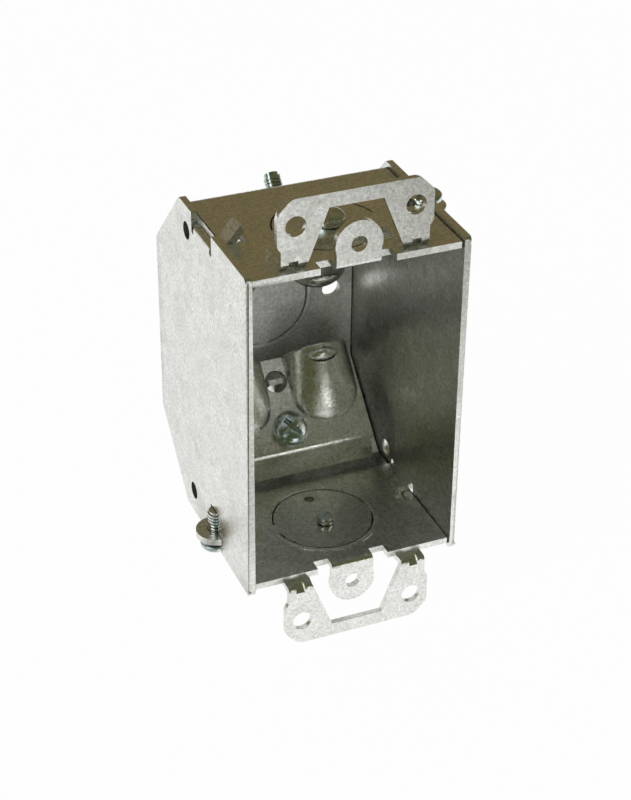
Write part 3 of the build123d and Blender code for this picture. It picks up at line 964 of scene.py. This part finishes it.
def by_ray(tree, camera, glossy, other):
    """One shader for what the camera sees, one for what metal mirrors and one for all other light."""
    path = node(tree, "ShaderNodeLightPath")
    mirrored = node(tree, "ShaderNodeMixShader")
    link(tree, path.outputs["Is Glossy Ray"], mirrored.inputs[0])
    link(tree, other, mirrored.inputs[1])
    link(tree, glossy, mirrored.inputs[2])
    seen = node(tree, "ShaderNodeMixShader")
    link(tree, path.outputs["Is Camera Ray"], seen.inputs[0])
    link(tree, mirrored.outputs["Shader"], seen.inputs[1])
    link(tree, camera, seen.inputs[2])
    return seen.outputs["Shader"]


def add_floor(settings):
    """A wide pale floor just under the box, white to the camera and fading in what metal mirrors."""
    material = bpy.data.materials.new("pale_floor")
    material.use_nodes = True
    tree = material.node_tree
    shader = tree.nodes["Principled BSDF"]
    coords = node(tree, "ShaderNodeTexCoord").outputs["Object"]
    tone = remap(tree, noise(tree, coords, 30.0), 0.3, 0.7)
    link(tree, mix_colour(tree, tone, (0.86, 0.86, 0.86), (0.90, 0.90, 0.90)), shader.inputs["Base Color"])
    shader.inputs["Roughness"].default_value = 0.9
    white = node(tree, "ShaderNodeEmission")
    paper = node(tree, "ShaderNodeMixShader")
    paper.inputs[0].default_value = settings.floor_white
    link(tree, shader.outputs["BSDF"], paper.inputs[1])
    link(tree, white.outputs["Emission"], paper.inputs[2])
    spot = node(tree, "ShaderNodeSeparateXYZ")
    link(tree, coords, spot.inputs["Vector"])
    x, y = spot.outputs["X"], spot.outputs["Y"]
    right = remap(tree, x, *FADE_RIGHT_X, 1.0, settings.floor_far)
    right = maths(tree, "MAXIMUM", right, remap(tree, y, *FADE_RIGHT_Y))
    near = maths(tree, "MULTIPLY", remap(tree, y, *FADE_NEAR_Y), remap(tree, x, *FADE_NEAR_X))
    left = maths(tree, "MAXIMUM", remap(tree, x, *FADE_LEFT_X), near)
    left = maths(tree, "MAXIMUM", left, remap(tree, y, *FADE_BEHIND_Y, 0.0, BEHIND_WHITE))
    fade = maths(tree, "MULTIPLY", maths(tree, "MULTIPLY", right, remap(tree, y, *FADE_FRONT_Y)), left)
    sheen = node(tree, "ShaderNodeEmission")
    link(tree, mix_colour(tree, fade, settings.mirrored_front, WHITE), sheen.inputs["Color"])
    surface = by_ray(tree, paper.outputs["Shader"], sheen.outputs["Emission"], shader.outputs["BSDF"])
    link(tree, surface, tree.nodes["Material Output"].inputs["Surface"])
    shape = bmesh.new()
    bmesh.ops.create_grid(shape, x_segments=1, y_segments=1, size=0.5)
    scale = Matrix.Diagonal((settings.floor_size, settings.floor_size, 1.0, 1.0))
    place = Matrix.Translation((0, 0.5, CAD_BOX[0].z - 0.0005))
    bmesh.ops.transform(shape, matrix=place @ scale, verts=shape.verts)
    made = shape_object("floor", shape)
    made.data.materials.append(material)


def add_world(settings):
    """Even white light from all round, white to the camera and toned in what metal mirrors."""
    world = bpy.data.worlds.new("studio")
    bpy.context.scene.world = world
    world.use_nodes = True
    tree = world.node_tree
    background = tree.nodes["Background"]
    background.inputs["Color"].default_value = (*WHITE, 1.0)
    background.inputs["Strength"].default_value = settings.room
    white = node(tree, "ShaderNodeBackground")
    white.inputs["Color"].default_value = (*WHITE, 1.0)
    dull = node(tree, "ShaderNodeBackground")
    aim = node(tree, "ShaderNodeSeparateXYZ")
    link(tree, node(tree, "ShaderNodeTexCoord").outputs["Generated"], aim.inputs["Vector"])
    turned = remap(tree, aim.outputs["Y"], -0.5, 0.5)
    link(tree, mix_colour(tree, turned, settings.mirrored_front, settings.mirrored_back), dull.inputs["Color"])
    shaders = (made.outputs["Background"] for made in (white, dull, background))
    link(tree, by_ray(tree, *shaders), tree.nodes["World Output"].inputs["Surface"])


def add_lamp(name, place, size, power):
    """A soft square lamp turned towards the box."""
    data = bpy.data.lights.new(name, "AREA")
    data.shape = "RECTANGLE"
    data.size = size
    data.size_y = size
    data.energy = power
    made = bpy.data.objects.new(name, data)
    made.location = place
    made.rotation_euler = (LAMP_AIM - Vector(place)).to_track_quat("-Z", "Y").to_euler()
    bpy.context.scene.collection.objects.link(made)


def add_camera(settings):
    """The camera, at the photograph's angle."""
    data = bpy.data.cameras.new("camera")
    data.sensor_width = 36.0
    data.lens = settings.lens
    data.clip_start = 0.01
    data.clip_end = 50.0
    camera = bpy.data.objects.new("camera", data)
    bpy.context.scene.collection.objects.link(camera)
    back = -Vector(settings.camera_forward).normalized()
    right = Vector(settings.camera_up).cross(back).normalized()
    turn = Matrix((right, back.cross(right), back)).transposed().to_4x4()
    camera.matrix_world = Matrix.Translation(settings.camera_place) @ turn
    bpy.context.scene.camera = camera


class SWITCHBOX_OT_stage(bpy.types.Operator):
    """Sets up the camera, the pale floor and the soft lamps"""

    bl_idname = "switchbox.stage"
    bl_label = "Set the stage"

    def execute(self, context):
        settings = context.scene.switchbox_stage
        add_floor(settings)
        add_world(settings)
        add_lamp("key_lamp", KEY_PLACE, settings.key_size, settings.key_power)
        add_lamp("front_lamp", FRONT_PLACE, settings.front_size, settings.front_power)
        add_camera(settings)
        context.scene.view_settings.view_transform = "Standard"
        return {"FINISHED"}


class SWITCHBOX_PT_panel(bpy.types.Panel):
    """Lists the steps that build the switch box's looks"""

    bl_idname = "SWITCHBOX_PT_panel"
    bl_label = "Switch box"
    bl_space_type = "VIEW_3D"
    bl_region_type = "UI"
    bl_category = "Switch Box"

    def draw(self, context):
        column = self.layout.column()
        for step in (SWITCHBOX_OT_sheet, SWITCHBOX_OT_screws, SWITCHBOX_OT_stage):
            column.operator(step.bl_idname)


CLASSES = (
    SwitchBoxSheetSettings,
    SwitchBoxScrewSettings,
    SwitchBoxStageSettings,
    SWITCHBOX_OT_sheet,
    SWITCHBOX_OT_screws,
    SWITCHBOX_OT_stage,
    SWITCHBOX_PT_panel,
)


def register():
    for item in CLASSES:
        bpy.utils.register_class(item)
    bpy.types.Scene.switchbox_sheet = bpy.props.PointerProperty(type=SwitchBoxSheetSettings)
    bpy.types.Scene.switchbox_screws = bpy.props.PointerProperty(type=SwitchBoxScrewSettings)
    bpy.types.Scene.switchbox_stage = bpy.props.PointerProperty(type=SwitchBoxStageSettings)


def unregister():
    del bpy.types.Scene.switchbox_stage
    del bpy.types.Scene.switchbox_screws
    del bpy.types.Scene.switchbox_sheet
    for item in reversed(CLASSES):
        bpy.utils.unregister_class(item)


def main():
    register()
    bpy.ops.switchbox.sheet()
    bpy.ops.switchbox.screws()
    bpy.ops.switchbox.stage()


if __name__ == "__main__":
    main()
